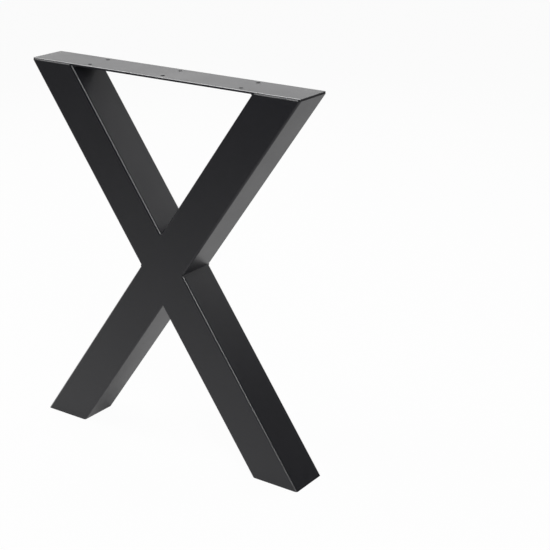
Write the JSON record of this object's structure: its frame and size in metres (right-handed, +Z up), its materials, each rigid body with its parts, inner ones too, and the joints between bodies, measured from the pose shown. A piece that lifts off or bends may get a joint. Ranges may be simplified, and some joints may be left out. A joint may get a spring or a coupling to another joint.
{
  "type": "x shaped table leg",
  "caption": "X shaped table leg of crossed square steel tubes welded under a flat drilled mounting bar, black powder coated, for one end of a table top.",
  "frame": {"origin": "on the floor, midway between the two feet and midway through the leg's depth", "axes": "+X along the mounting bar towards the long tube's upper end, +Y through the leg's depth towards its rear, +Z up"},
  "size_m": [0.605, 0.08, 0.72],
  "materials": {
    "black_powder_coat": "matte black powder coat with a fine grain over welded steel"
  },
  "bodies": {
    "root": {"mounting_bar": "black_powder_coat", "long_tube": "black_powder_coat", "upper_half_tube": "black_powder_coat", "lower_half_tube": "black_powder_coat", "left_foot_plate": "black_powder_coat", "right_foot_plate": "black_powder_coat", "upper_crossing_weld": "black_powder_coat", "lower_crossing_weld": "black_powder_coat", "left_front_bar_weld": "black_powder_coat", "left_rear_bar_weld": "black_powder_coat", "left_inner_bar_weld": "black_powder_coat", "right_front_bar_weld": "black_powder_coat", "right_rear_bar_weld": "black_powder_coat", "right_inner_bar_weld": "black_powder_coat"}
  },
  "joints": []
}
